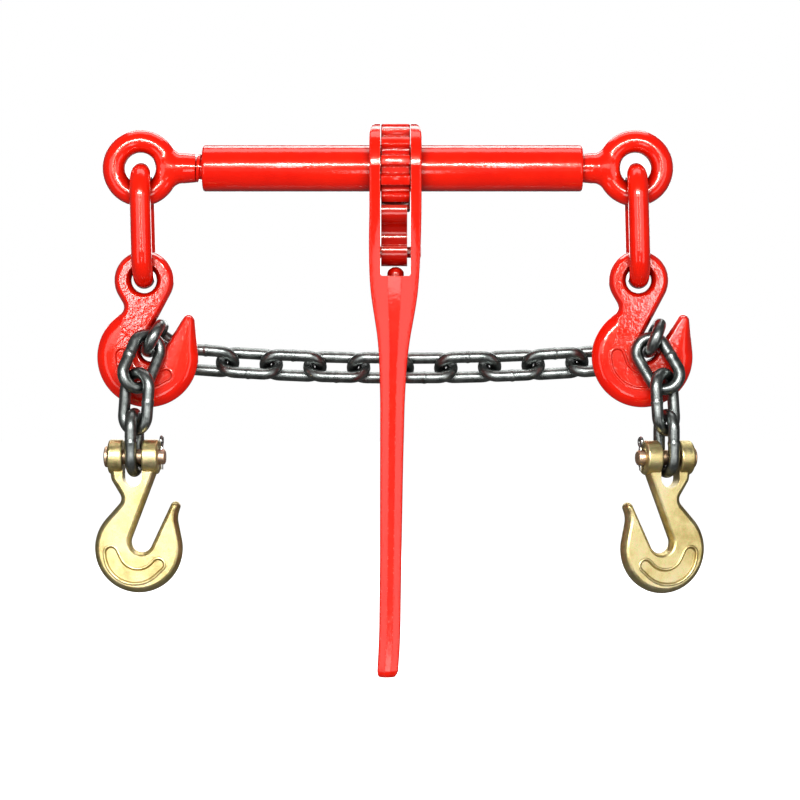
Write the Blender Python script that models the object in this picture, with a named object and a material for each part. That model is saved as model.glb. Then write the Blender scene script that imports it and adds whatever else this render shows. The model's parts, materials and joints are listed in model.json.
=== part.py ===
"""Ratchet load binder: a barrel with a ratchet handle, two eye screws, two eye grab hooks and
a chain whose ends carry clevis grab hooks. Lengths are in millimetres and are written to the
scene in metres. Left and right are those of someone facing the handle; +Y points away."""

import math

import bmesh
import bpy
from mathutils import Matrix, Vector

MM = 0.001
GAP = 0.3
# Half the length of every cutter that passes right through a piece.
CUT_REACH = 40.0
X = Vector((1, 0, 0))
Y = Vector((0, 1, 0))
Z = Vector((0, 0, 1))

# Middle of the assembly's box, seen from the middle of the barrel.
BOX_MIDDLE = Vector((4.6, 2.5, -155.5))

# Barrel and its ratchet gear.
BARREL_LENGTH = 254.0
BARREL_R = 15.6
BARREL_BORE_R = 9.8
BARREL_CHAMFER = 1.2
GEAR_TEETH = 13
GEAR_TIP_R = 29.5
GEAR_ROOT_R = 25.0
GEAR_X = (-7.6, 11.7)
# Half width of a tooth at its foot and at its tip, as a share of the tooth pitch.
TOOTH_FOOT = 0.33
TOOTH_TIP = 0.21
GEAR_BORE_R = BARREL_R + GAP

# Eye screws: distance along X from the eye's centre, and radius, of the neck and the shank.
EYE_LEFT_X = -168.5
EYE_RIGHT_X = 162.3
EYE_RING_R = 17.95
EYE_WIRE_R = 7.55
EYE_NECK = ((17.6, 5.6), (21.5, 7.6), (25.0, 10.0), (29.0, 10.3), (34.0, 9.6), (37.0, 9.4))
SHANK_R = 9.4
SHANK_END_CLEAR = 12.0
SHANK_CHAMFER = 2.0

# Handle: a fork round the gear that tapers into a long eight-sided grip.
FORK_X = (-15.4, 19.4)
FORK_R = 29.8
FORK_EDGE = 2.6
WINDOW_X = (-8.0, 12.1)
WINDOW_FLOOR_Z = -72.7
FORK_BORE_R = BARREL_R + 0.4
WASHER_R = (16.1, 21.5)
WASHER_THICK = 1.4
WASHER_SEAT_DEEP = 2.0
# z, middle x, half width, half depth and corner bevel down the grip.
GRIP = (
    (-14.0, 2.0, 17.4, 26.6, 2.6),
    (-30.0, 2.0, 17.4, 23.6, 2.8),
    (-48.0, 1.6, 17.4, 20.4, 3.2),
    (-66.0, 1.3, 17.0, 17.6, 3.8),
    (-80.0, 1.2, 16.2, 15.4, 4.4),
    (-92.0, 1.2, 14.6, 13.6, 4.8),
    (-104.0, 1.1, 12.5, 12.6, 4.6),
    (-117.0, 0.8, 10.3, 11.8, 4.2),
    (-132.0, 0.4, 9.1, 11.3, 3.8),
    (-155.0, 0.0, 8.1, 10.9, 3.5),
    (-200.0, -0.6, 7.7, 10.5, 3.3),
    (-260.0, -1.2, 7.2, 10.0, 3.1),
    (-310.0, -1.8, 7.1, 9.8, 3.0),
    (-328.0, -2.6, 7.1, 9.7, 3.0),
    (-335.5, -3.4, 6.8, 9.4, 2.9),
    (-339.0, -3.7, 5.6, 8.2, 2.4),
    (-340.3, -3.8, 3.6, 6.2, 1.6),
)

# Pawl, its pin, and the sprung detent under it.
PAWL_X = (-7.6, 9.8)
PAWL_PIVOT_Z = -56.0
PAWL_PIN_R = 4.0
PAWL_HOLE_R = PAWL_PIN_R + GAP
PAWL_BODY_R = 9.6
# Half the pawl above its round foot: its flank from the pivot, then its horn and saddle as
# degrees from straight down, and radius, about the barrel's axis.
PAWL_FLANK = ((9.6, 8.5), (12.2, 14.5))
PAWL_HORN = ((25.5, 38.0), (32.0, 33.5), (33.5, 30.4), (30.5, 30.4), (26.0, 34.5))
PAWL_SADDLE = ((14.0, 38.0), (0.0, 39.0))
PAWL_PIN_INSET = 0.4
PAWL_PIN_CHAMFER = 0.6
PLUNGER_R = 5.7
PLUNGER_TOP_Z = -66.0
PLUNGER_BOTTOM_Z = -88.0
PLUNGER_DOME = 4.2
PLUNGER_FLAT_R = 0.4
PLUNGER_BORE_R = 4.1
PLUNGER_BORE_TOP_Z = -73.0
DETENT_BORE_R = PLUNGER_R + GAP
DETENT_BORE_FLOOR_Z = -112.5
SPRING_R = 3.2
SPRING_WIRE_R = 0.5
SPRING_TURNS = 6

# Connecting links between the eyes and the red hooks.
LINK_WIRE_R = 6.9
LINK_INSIDE_WIDE = 19.0
LINK_TOP_BAR_Z = -3.1
LINK_TOP_SHIFT = 0.5
LINK_BOTTOM_BAR_Z = -73.8

# Eye grab hooks, drawn from the centre of their eye. Each corner circle is x, z, radius
# (negative where the outline is hollow), share of the edge rounding, steps.
HOOK_LEFT_X = -166.2
HOOK_RIGHT_X = 164.6
HOOK_EYE_BELOW_BAR = 1.2
HOOK_HALF_THICK = 6.1
EYE_HOOK_OUTLINE = (
    (0.0, 0.0, 19.9, 1.0, 16),
    (-19.3, -17.9, -5.8, 1.0, 4),
    (2.4, -51.2, 33.8, 1.0, 18),
    (29.8, -27.0, 4.1, 0.62, 8),
    (4.5, -47.7, -6.4, 0.8, 8),
)
EYE_HOLE_R = 8.4
EYE_HOLE_FLARE = 3.2
SLOT_LEAN_DEG = 27.1
SLOT_AT = (4.5, -47.7)

# Clevis grab hooks, drawn from the centre of their pin, with the tip towards +X.
CLEVIS_HOOK_OUTLINE = (
    (6.2, -6.0, 10.0, 0.9, 5),
    (-6.6, -6.0, 10.0, 0.9, 5),
    (-7.8, -12.5, 7.8, 0.9, 3),
    (-13.9, -27.6, -5.2, 1.0, 4),
    (3.05, -60.5, 29.3, 1.0, 18),
    (43.5, -40.5, -14.3, 1.0, 3),
    (27.5, -32.6, 3.3, 0.62, 8),
    (5.2, -56.0, -6.9, 0.8, 8),
)
EAR_R = 11.4
EAR_LEFT_X = (-16.8, -6.9)
EAR_RIGHT_X = (5.8, 16.6)
EAR_CHAMFER = 1.0
CLEVIS_SLOT_FLOOR_Z = -19.6
PIN_R = 5.15
PIN_HOLE_R = PIN_R + GAP
PIN_X = (-17.1, 20.8)
PIN_HEAD_R = 7.0
PIN_HEAD_THICK = 2.9
PIN_HEAD_CHAMFER = 0.8
PIN_SEAT_CHAMFER = 0.6
PIN_END_CHAMFER = 1.0
COTTER_X = 18.2
COTTER_WIRE_R = 1.1
COTTER_HOLE_R = COTTER_WIRE_R + GAP
COTTER_EYE_R = 2.8
COTTER_LEG_Z = (-8.4, 6.2)
COTTER_EYE_RISE = 4.2
COTTER_EYE_STEP_DEG = 34.0
COTTER_EYE_STEPS = 9

# How far in the hook's edge stands at each share of its half thickness.
EDGE_ROUNDING = ((-1.0, 3.8), (-0.62, 1.3), (0.0, 0.0), (0.62, 1.3), (1.0, 3.8))

# Chain. A seat is where a link's end wire lies in the link before it, from that link's middle:
# along it, across it and off its plane.
WIRE_R = 4.05
PITCH = 29.6
CHAIN_INSIDE_LONG = PITCH + GAP
CHAIN_INSIDE_WIDE = 11.6
CHAIN_HALF = CHAIN_INSIDE_LONG / 2 + WIRE_R
# Side, link's lean and its middle's shift up and across the slot.
THROATS = {"left": (27.1, 9.1, -1.5), "right": (21.0, 10.5, 0.9)}
# Each hanging link's seat, then its lean, forward tilt and roll in degrees.
TAILS = {
    "left": (
        ((10.4, 0.3, 1.4), (-21.0, 21.8, 30.0)),
        ((9.0, 0.4, 1.7), (-4.1, 0.0, -35.0)),
        ((8.1, -0.2, 0.8), (0.0, 0.0, 80.0)),
    ),
    "right": (
        ((9.2, -3.7, 6.2), (29.0, 17.8, -11.0)),
        ((8.4, -0.4, 2.1), (3.5, 1.4, 51.7)),
        ((8.4, 0.2, 0.3), (0.0, 0.0, -65.6)),
    ),
}
CLEVIS_TURN_DEG = {"left": -4.0, "right": 16.0}
# The link behind each throat: its seat, its bearing, dip and roll in degrees, and the seat in
# it of the row's end link.
BEHIND = {
    "left": ((15.2, 2.3, -8.1), (24.9, 31.9, -29.7), (11.0, -3.0, 5.6)),
    "right": ((10.1, -2.0, 4.9), (138.0, 25.7, -51.4), (10.4, -1.6, -3.4)),
}
ROW_LINKS = 10
ROW_SAG = 5.0
ROW_END_SLOPE_DEG = 4.0
ROW_ROLL_DEG = 43.0

RED = (0.80, 0.018, 0.006, 1.0)
STEEL = (0.10, 0.11, 0.11, 1.0)
GOLD = (0.72, 0.58, 0.26, 1.0)
BRIGHT = (0.55, 0.55, 0.54, 1.0)


def clear_scene():
    for obj in list(bpy.data.objects):
        bpy.data.objects.remove(obj, do_unlink=True)


def material(name, colour, metallic, roughness):
    mat = bpy.data.materials.new(name)
    mat.use_nodes = True
    shader = mat.node_tree.nodes["Principled BSDF"]
    shader.inputs["Base Color"].default_value = colour
    shader.inputs["Metallic"].default_value = metallic
    shader.inputs["Roughness"].default_value = roughness
    mat.diffuse_color = colour
    return mat


def red_paint(name):
    return material(name + "_paint", RED, 0.0, 0.25)


def dark_steel(name):
    return material(name + "_steel", STEEL, 1.0, 0.35)


def zinc(name):
    return material(name + "_zinc", GOLD, 1.0, 0.35)


def bright_steel(name):
    return material(name + "_bright", BRIGHT, 1.0, 0.3)


def make(name, bm, mat=None, pivot=Vector((0, 0, 0))):
    """Turns points given from the middle of the barrel into an object whose origin is pivot."""
    bmesh.ops.recalc_face_normals(bm, faces=bm.faces)
    for vert in bm.verts:
        vert.co = (vert.co - pivot) * MM
    mesh = bpy.data.meshes.new(name)
    bm.to_mesh(mesh)
    bm.free()
    obj = bpy.data.objects.new(name, mesh)
    obj.location = (pivot - BOX_MIDDLE) * MM
    bpy.context.scene.collection.objects.link(obj)
    if mat:
        mesh.materials.append(mat)
        smooth(obj)
    return obj


def smooth(obj, sharp_deg=34.0):
    obj.data.shade_smooth()
    obj.data.set_sharp_from_angle(angle=math.radians(sharp_deg))


def combine(obj, others, operation):
    """Cuts the others from the object, or joins them to it, and drops them."""
    for other in others:
        other.hide_render = True
        other.display_type = "WIRE"
        modifier = obj.modifiers.new(operation.lower(), "BOOLEAN")
        modifier.operation = operation
        modifier.solver = "EXACT"
        modifier.object = other
    bpy.context.view_layer.update()
    graph = bpy.context.evaluated_depsgraph_get()
    mesh = bpy.data.meshes.new_from_object(obj.evaluated_get(graph))
    obj.modifiers.clear()
    obj.data = mesh
    for other in others:
        bpy.data.objects.remove(other, do_unlink=True)
    smooth(obj)


def skin(bm, rings, closed):
    """Joins rings of points, each to the next, and caps the two ends unless closed."""
    rows = []
    for ring in rings:
        rows.append([bm.verts.new(point) for point in ring])
    count = len(rows[0])
    last = len(rows) if closed else len(rows) - 1
    for i in range(last):
        a = rows[i]
        b = rows[(i + 1) % len(rows)]
        for j in range(count):
            k = (j + 1) % count
            bm.faces.new((a[j], a[k], b[k], b[j]))
    if not closed:
        bm.faces.new(rows[0])
        bm.faces.new(rows[-1])


def circle(centre, radius, u, v, steps):
    points = []
    for i in range(steps):
        angle = 2 * math.pi * i / steps
        points.append(centre + radius * (math.cos(angle) * u + math.sin(angle) * v))
    return points


def turned(start, axis, profile, steps=40):
    """A solid turned about the axis through start; profile holds distance, radius pairs."""
    u = Y if abs(axis.x) > 0.5 else X
    v = axis.cross(u)
    bm = bmesh.new()
    skin(bm, [circle(start + axis * d, r, u, v, steps) for d, r in profile], False)
    return bm


def rod(start, axis, length, radius, steps=24):
    return turned(start, axis, ((0.0, radius), (length, radius)), steps)


def turned_ring(start, axis, profile, steps=40):
    """A ring turned about the axis through start; profile is a closed loop of the same pairs."""
    u = Y if abs(axis.x) > 0.5 else X
    v = axis.cross(u)
    bm = bmesh.new()
    skin(bm, [circle(start + axis * d, r, u, v, steps) for d, r in profile], True)
    return bm


def box(low, high):
    bm = bmesh.new()
    rings = []
    for z in (low[2], high[2]):
        ring = [(low[0], low[1], z), (high[0], low[1], z), (high[0], high[1], z)]
        rings.append([Vector(p) for p in ring + [(low[0], high[1], z)]])
    skin(bm, rings, False)
    return bm


def prism(outline, start, stop):
    """A prism along X over an outline of y, z points."""
    bm = bmesh.new()
    skin(bm, [[Vector((x, y, z)) for y, z in outline] for x in (start, stop)], False)
    return bm


def oval_link(middle, along, across, inside_long, inside_wide, wire_r, bend_steps, sides):
    """A link of round wire: two half circles joined by straight legs."""
    bend_r = inside_wide / 2 + wire_r
    reach = (inside_long - inside_wide) / 2
    up = along.cross(across)
    bm = bmesh.new()
    rings = []
    for end in (1, -1):
        for i in range(bend_steps + 1):
            angle = math.pi * i / bend_steps - math.pi / 2
            out = end * (math.cos(angle) * along + math.sin(angle) * across)
            spot = middle + end * reach * along + bend_r * out
            turn = [2 * math.pi * k / sides for k in range(sides)]
            rings.append([spot + wire_r * (math.cos(t) * out + math.sin(t) * up) for t in turn])
    skin(bm, rings, True)
    return bm


def hook_edge(outline, inset):
    """The outline's points, moved inwards by inset: arcs joined by their common tangents."""
    starts = []
    for i, (x, z, r, _, _) in enumerate(outline):
        x2, z2, r2 = outline[(i + 1) % len(outline)][:3]
        apart = math.hypot(x2 - x, z2 - z)
        starts.append(math.atan2(z2 - z, x2 - x) + math.acos((r2 - r) / apart))
    points = []
    for i, (x, z, r, share, steps) in enumerate(outline):
        first = starts[i - 1]
        sweep = (starts[i] - first) % (2 * math.pi)
        if r < 0:
            sweep -= 2 * math.pi
        for k in range(steps + 1):
            angle = first + sweep * k / steps
            at = r - inset * share
            points.append((x - at * math.cos(angle), z - at * math.sin(angle)))
    return points


def hook_plate(outline, centre, mirror):
    bm = bmesh.new()
    rings = []
    for level, inset in EDGE_ROUNDING:
        y = level * HOOK_HALF_THICK
        ring = [centre + Vector((mirror * x, y, z)) for x, z in hook_edge(outline, inset)]
        rings.append(ring)
    skin(bm, rings, False)
    return bm


def barrel():
    half = BARREL_LENGTH / 2
    inner = BARREL_CHAMFER / 2
    profile = (
        (-half, BARREL_R - BARREL_CHAMFER),
        (-half + BARREL_CHAMFER, BARREL_R),
        (half - BARREL_CHAMFER, BARREL_R),
        (half, BARREL_R - BARREL_CHAMFER),
        (half, BARREL_BORE_R + inner),
        (half - inner, BARREL_BORE_R),
        (-half + inner, BARREL_BORE_R),
        (-half, BARREL_BORE_R + inner),
    )
    make("barrel_tube", turned_ring(Vector((0, 0, 0)), X, profile, 48), red_paint("barrel"))


def ratchet_gear():
    pitch = 2 * math.pi / GEAR_TEETH
    rise = ((-TOOTH_FOOT, GEAR_ROOT_R), (-TOOTH_TIP, GEAR_TIP_R))
    corners = rise + ((TOOTH_TIP, GEAR_TIP_R), (TOOTH_FOOT, GEAR_ROOT_R))
    outline = []
    for tooth in range(GEAR_TEETH):
        for share, r in corners:
            # A gap between teeth, not a tooth, stands straight below the axis.
            angle = (tooth + 0.5 + share) * pitch - math.pi / 2
            outline.append((r * math.cos(angle), r * math.sin(angle)))
    gear = make("ratchet_gear", prism(outline, *GEAR_X), red_paint("gear"))
    start = Vector((GEAR_X[0] - 1, 0, 0))
    length = GEAR_X[1] - GEAR_X[0] + 2
    combine(gear, [make("gear_bore", rod(start, X, length, GEAR_BORE_R, 48))], "DIFFERENCE")


def thrust_washer(name, x):
    inner, outer = WASHER_R
    loop = ((0, inner), (WASHER_THICK, inner), (WASHER_THICK, outer), (0, outer))
    make(name, turned_ring(Vector((x, 0, 0)), X, loop, 40), bright_steel(name))


def eye_screw(name, x, inward):
    """The threaded screw: a ring that lies across the barrel's axis, a neck and a shank."""
    centre = Vector((x, 0, 0))
    axis = X * inward
    end = abs(x) - SHANK_END_CLEAR
    tail = ((end - SHANK_CHAMFER, SHANK_R), (end, SHANK_R - SHANK_CHAMFER))
    ring = bmesh.new()
    rings = []
    for i in range(32):
        angle = 2 * math.pi * i / 32
        out = math.cos(angle) * X + math.sin(angle) * Z
        rings.append(circle(centre + EYE_RING_R * out, EYE_WIRE_R, out, Y, 12))
    skin(ring, rings, True)
    eye = make(name, ring, red_paint(name), centre)
    shank = make(name + "_shank", turned(centre, axis, EYE_NECK + tail, 24))
    combine(eye, [shank], "UNION")


def handle_section(z, middle, half_wide, half_deep, bevel):
    corners = []
    for sx, sy in ((1, 1), (-1, 1), (-1, -1), (1, -1)):
        near = (sx * half_wide, sy * (half_deep - bevel))
        far = (sx * (half_wide - bevel), sy * half_deep)
        corners += [near, far] if sx * sy > 0 else [far, near]
    return [Vector((middle + x, y, z)) for x, y in corners]


def handle():
    rings = []
    middle = sum(FORK_X) / 2
    half_wide = (FORK_X[1] - FORK_X[0]) / 2
    for degrees in (80, 68, 54, 40, 26, 12, 0):
        angle = math.radians(degrees)
        z = FORK_R * math.sin(angle)
        narrow = FORK_EDGE * max(0.0, (z / FORK_R) ** 8)
        deep = FORK_R * math.cos(angle)
        bevel = min(FORK_EDGE, deep / 3)
        rings.append(handle_section(z, middle, half_wide - narrow, deep, bevel))
    rings += [handle_section(*row) for row in GRIP]
    bm = bmesh.new()
    skin(bm, rings, False)
    lever = make("handle", bm, red_paint("handle"))
    far = CUT_REACH
    window = box((WINDOW_X[0], -far, WINDOW_FLOOR_Z), (WINDOW_X[1], far, far))
    seat_r = WASHER_R[1] + 0.4
    seats = WINDOW_X[1] - WINDOW_X[0] + 2 * WASHER_SEAT_DEEP
    seat_start = Vector((WINDOW_X[0] - WASHER_SEAT_DEEP, 0, 0))
    low = Vector((-far, 0, 0))
    pin_low = Vector((-far, 0, PAWL_PIVOT_Z))
    detent_low = Vector((sum(WINDOW_X) / 2, 0, DETENT_BORE_FLOOR_Z))
    detent_deep = WINDOW_FLOOR_Z - DETENT_BORE_FLOOR_Z + 1
    cutters = [
        make("cut_window", window),
        make("cut_seats", rod(seat_start, X, seats, seat_r, 40)),
        make("cut_fork_bore", rod(low, X, 2 * far, FORK_BORE_R, 48)),
        make("cut_pin", rod(pin_low, X, 2 * far, PAWL_PIN_R + GAP, 20)),
        make("cut_detent", rod(detent_low, Z, detent_deep, DETENT_BORE_R, 24)),
    ]
    combine(lever, cutters, "DIFFERENCE")


def pawl():
    """A two-horned pawl: either horn drops into the gear as it tips about its pin."""
    half = [(0.0, -PAWL_BODY_R)]
    for degrees in (-60, -30, 0, 25):
        angle = math.radians(degrees)
        half.append((PAWL_BODY_R * math.cos(angle), PAWL_BODY_R * math.sin(angle)))
    half += PAWL_FLANK
    for degrees, radius in PAWL_HORN + PAWL_SADDLE:
        angle = math.radians(degrees)
        half.append((radius * math.sin(angle), -radius * math.cos(angle) - PAWL_PIVOT_Z))
    other = [(-y, z) for y, z in reversed(half[1:-1])]
    outline = [(y, z + PAWL_PIVOT_Z) for y, z in half + other]
    pivot = Vector((0, 0, PAWL_PIVOT_Z))
    body = make("pawl", prism(outline, *PAWL_X), red_paint("pawl"), pivot)
    hole = rod(Vector((-CUT_REACH, 0, PAWL_PIVOT_Z)), X, 2 * CUT_REACH, PAWL_HOLE_R, 20)
    combine(body, [make("cut_pawl", hole)], "DIFFERENCE")


def pawl_pin():
    start = Vector((FORK_X[0] + PAWL_PIN_INSET, 0, PAWL_PIVOT_Z))
    length = FORK_X[1] - FORK_X[0] - 2 * PAWL_PIN_INSET
    edge = PAWL_PIN_CHAMFER
    small = PAWL_PIN_R - edge
    profile = ((0, small), (edge, PAWL_PIN_R), (length - edge, PAWL_PIN_R), (length, small))
    make("pawl_pin", turned(start, X, profile, 20), red_paint("pawl_pin"), start)


def detent():
    """The dome-topped plunger, hollow below, and the coil spring inside it."""
    x = sum(WINDOW_X) / 2
    foot = Vector((x, 0, PLUNGER_BOTTOM_Z))
    tall = PLUNGER_TOP_Z - PLUNGER_BOTTOM_Z
    deep = PLUNGER_BORE_TOP_Z - PLUNGER_BOTTOM_Z
    profile = [(deep, PLUNGER_FLAT_R), (deep, PLUNGER_BORE_R), (0, PLUNGER_BORE_R), (0, PLUNGER_R)]
    for degrees in (0, 25, 50, 72):
        angle = math.radians(degrees)
        height = tall - PLUNGER_DOME * (1 - math.sin(angle))
        profile.append((height, PLUNGER_R * math.cos(angle)))
    profile.append((tall, PLUNGER_FLAT_R))
    rings = [circle(foot + Z * d, r, X, Y, 24) for d, r in profile]
    bm = bmesh.new()
    skin(bm, rings, False)
    make("detent_plunger", bm, red_paint("plunger"), foot)
    low = DETENT_BORE_FLOOR_Z + GAP + SPRING_WIRE_R
    high = PLUNGER_BORE_TOP_Z - GAP - SPRING_WIRE_R
    bm = bmesh.new()
    rings = []
    steps = SPRING_TURNS * 12
    for i in range(steps + 1):
        angle = 2 * math.pi * SPRING_TURNS * i / steps
        out = math.cos(angle) * X + math.sin(angle) * Y
        spot = Vector((x, 0, low + (high - low) * i / steps)) + SPRING_R * out
        rings.append(circle(spot, SPRING_WIRE_R, out, Z, 6))
    skin(bm, rings, False)
    spring_foot = Vector((x, 0, DETENT_BORE_FLOOR_Z + GAP))
    make("detent_spring", bm, bright_steel("spring"), spring_foot)


def connecting_link(name, top_x, bottom_x):
    top = Vector((top_x, 0, LINK_TOP_BAR_Z))
    run = Vector((bottom_x, 0, LINK_BOTTOM_BAR_Z)) - top
    inside = run.length - 2 * LINK_WIRE_R
    along = run.normalized()
    bm = oval_link(top + run / 2, along, Y, inside, LINK_INSIDE_WIDE, LINK_WIRE_R, 8, 12)
    make(name, bm, red_paint(name), top)


def eye_hook(name, x):
    centre = hook_centre(x)
    hook = make(name, hook_plate(EYE_HOOK_OUTLINE, centre, 1), red_paint(name), centre)
    flare = []
    for level in (-1.15, -1.0, -0.6, 0.0, 0.6, 1.0, 1.15):
        radius = EYE_HOLE_R + EYE_HOLE_FLARE * level * level
        flare.append((level * HOOK_HALF_THICK, radius))
    combine(hook, [make(name + "_hole", turned(centre, Y, flare, 28))], "DIFFERENCE")


def hook_centre(x):
    return Vector((x, 0, LINK_BOTTOM_BAR_Z - HOOK_EYE_BELOW_BAR))


def clevis_hook(name, pin, mirror):
    hook = make(name, hook_plate(CLEVIS_HOOK_OUTLINE, pin, mirror), zinc(name), pin)
    ears = []
    for number, (start, stop) in enumerate((EAR_LEFT_X, EAR_RIGHT_X)):
        low = pin + X * mirror * start
        length = stop - start
        edge = EAR_CHAMFER
        profile = ((0, EAR_R - edge), (edge, EAR_R), (length - edge, EAR_R), (length, EAR_R - edge))
        ears.append(make(f"{name}_ear{number}", turned(low, X * mirror, profile, 28)))
    combine(hook, ears, "UNION")
    edges = sorted((mirror * EAR_LEFT_X[1], mirror * EAR_RIGHT_X[0]))
    half = (edges[1] - edges[0]) / 2
    middle = pin + X * (edges[0] + half)
    floor = CLEVIS_SLOT_FLOOR_Z + half
    low = middle + Vector((-half, -CUT_REACH, floor))
    high = middle + Vector((half, CUT_REACH, CUT_REACH))
    round_low = middle + Vector((0, -CUT_REACH, floor))
    cutters = [
        make("cut_slot", box(low, high)),
        make("cut_slot_round", rod(round_low, Y, 2 * CUT_REACH, half, 20)),
        make("cut_pin_hole", rod(pin - X * CUT_REACH, X, 2 * CUT_REACH, PIN_HOLE_R, 20)),
    ]
    combine(hook, cutters, "DIFFERENCE")


def clevis_pin(name, pin, mirror):
    start, stop = PIN_X
    head = start - PIN_HEAD_THICK
    profile = (
        (head, PIN_HEAD_R - PIN_HEAD_CHAMFER),
        (head + PIN_HEAD_CHAMFER, PIN_HEAD_R),
        (start - PIN_SEAT_CHAMFER, PIN_HEAD_R),
        (start, PIN_HEAD_R - PIN_SEAT_CHAMFER),
        (start, PIN_R),
        (stop - PIN_END_CHAMFER, PIN_R),
        (stop, PIN_R - PIN_END_CHAMFER),
    )
    shaft = make(name, turned(pin, X * mirror, profile, 20), zinc(name), pin)
    low = pin + Vector((mirror * COTTER_X, 0, -CUT_REACH))
    hole = rod(low, Z, 2 * CUT_REACH, COTTER_HOLE_R, 10)
    combine(shaft, [make(name + "_hole", hole)], "DIFFERENCE")


def cotter_pin(name, pin, mirror):
    """A leg through the pin's end, topped by an open eye."""
    x = mirror * COTTER_X
    path = [(pin + Vector((x, 0, z)), X) for z in COTTER_LEG_Z]
    eye = pin + Vector((x, 0, COTTER_LEG_Z[1] + COTTER_EYE_RISE))
    for i in range(1, COTTER_EYE_STEPS + 1):
        angle = math.radians(-90 + COTTER_EYE_STEP_DEG * i)
        out = Y * math.cos(angle) + Z * math.sin(angle)
        path.append((eye + COTTER_EYE_R * out, X))
    rings = []
    for i, (spot, side) in enumerate(path):
        before = path[max(i - 1, 0)][0]
        after = path[min(i + 1, len(path) - 1)][0]
        run = (after - before).normalized()
        rings.append(circle(spot, COTTER_WIRE_R, side, run.cross(side), 8))
    bm = bmesh.new()
    skin(bm, rings, False)
    make(name, bm, bright_steel(name), pin)


def chain_link(name, middle, along, across):
    """Makes a link and returns its middle and its along, across and off-plane directions."""
    across = (across - along * across.dot(along)).normalized()
    bm = oval_link(middle, along, across, CHAIN_INSIDE_LONG, CHAIN_INSIDE_WIDE, WIRE_R, 7, 9)
    make(name, bm, dark_steel(name), middle - along * CHAIN_HALF)
    return middle, along, across, along.cross(across)


def seated(link, seat, along):
    """Middle of the link whose end wire has this seat in the link given."""
    middle, before, across, off = link
    return middle + before * seat[0] + across * seat[1] + off * seat[2] + along * CHAIN_HALF


def down_at(lean_deg, forward_deg):
    lean = math.radians(lean_deg)
    forward = math.radians(forward_deg)
    level = math.cos(forward)
    return Vector((math.sin(lean) * level, -math.sin(forward), -math.cos(lean) * level))


def rolled(first, second, roll_deg):
    roll = math.radians(roll_deg)
    return first * math.cos(roll) + second * math.sin(roll)


def leaning(lean_deg):
    lean = math.radians(lean_deg)
    return Vector((math.sin(lean), 0, math.cos(lean)))


def throat_middle(side, hook_x):
    _, rise, shift = THROATS[side]
    up = leaning(SLOT_LEAN_DEG)
    slot = Vector((SLOT_AT[0], 0, SLOT_AT[1]))
    return hook_centre(hook_x) + slot + up * rise + Y.cross(up) * shift


def tail(side, throat):
    """Three links that hang in front of the hook; returns the middle of the clevis pin."""
    middle, along, across, off = throat
    link = (middle, -along, across, -off)
    for number, (seat, (lean, forward, roll)) in zip((3, 2, 1), TAILS[side]):
        run = down_at(lean, forward)
        spot = seated(link, seat, run)
        link = chain_link(f"chain_{side}_{number}", spot, run, rolled(X, Y, roll))
    return link[0] - Z * (CHAIN_INSIDE_LONG / 2 - PIN_R - GAP)


def link_behind(side, throat):
    """The link that leads back from the throat; returns the middle of the row's end link."""
    seat, (bearing, dip, roll), end_seat = BEHIND[side]
    level = rolled(X, Y, bearing)
    run = rolled(level, -Z, dip)
    flat = run.cross(Z).normalized()
    across = rolled(flat, flat.cross(run), roll)
    link = chain_link(f"chain_{side}_5", seated(throat, seat, run), run, across)
    end_run = rolled(X if side == "left" else -X, -Z, ROW_END_SLOPE_DEG)
    return seated(link, end_seat, end_run)


def row(first, last):
    """The row of links behind the handle, sagging a little between its two end links."""
    run = last - first
    roll = math.radians(ROW_ROLL_DEG)
    for i in range(ROW_LINKS):
        share = i / (ROW_LINKS - 1)
        middle = first + run * share - Z * ROW_SAG * 4 * share * (1 - share)
        slope = run - Z * ROW_SAG * 4 * (1 - 2 * share)
        across = Vector((0, -math.cos(roll), math.sin(roll) * (-1) ** i))
        chain_link(f"chain_row_{i + 1:02d}", middle, slope.normalized(), across)


def main():
    clear_scene()
    barrel()
    ratchet_gear()
    thrust_washer("thrust_washer_left", WINDOW_X[0] - GAP - WASHER_THICK)
    thrust_washer("thrust_washer_right", WINDOW_X[1] + GAP)
    handle()
    pawl()
    pawl_pin()
    detent()
    ends = []
    sides = (("left", 1, EYE_LEFT_X, HOOK_LEFT_X), ("right", -1, EYE_RIGHT_X, HOOK_RIGHT_X))
    for side, inward, eye_x, hook_x in sides:
        eye_screw(f"eye_screw_{side}", eye_x, inward)
        connecting_link(f"connecting_link_{side}", eye_x + LINK_TOP_SHIFT, hook_x)
        eye_hook(f"grab_hook_{side}", hook_x)
        up = leaning(THROATS[side][0])
        throat = chain_link(f"chain_{side}_4", throat_middle(side, hook_x), Y, up)
        ends.append(link_behind(side, throat))
        pin = tail(side, throat)
        clevis_hook(f"clevis_hook_{side}", pin, inward)
        clevis_pin(f"clevis_pin_{side}", pin, inward)
        cotter_pin(f"cotter_pin_{side}", pin, inward)
        turn = Matrix.Rotation(math.radians(CLEVIS_TURN_DEG[side]), 4, "Z")
        for piece in ("clevis_hook", "clevis_pin", "cotter_pin"):
            bpy.data.objects[f"{piece}_{side}"].data.transform(turn)
    row(*ends)


main()
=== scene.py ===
"""Looks of the ratchet load binder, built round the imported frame. Shapes are worked out in
millimetres from the place the frame gives each node, and are written in metres."""

import json
import math

import bmesh
import bpy
import numpy as np
from mathutils import Matrix, Vector

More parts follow.
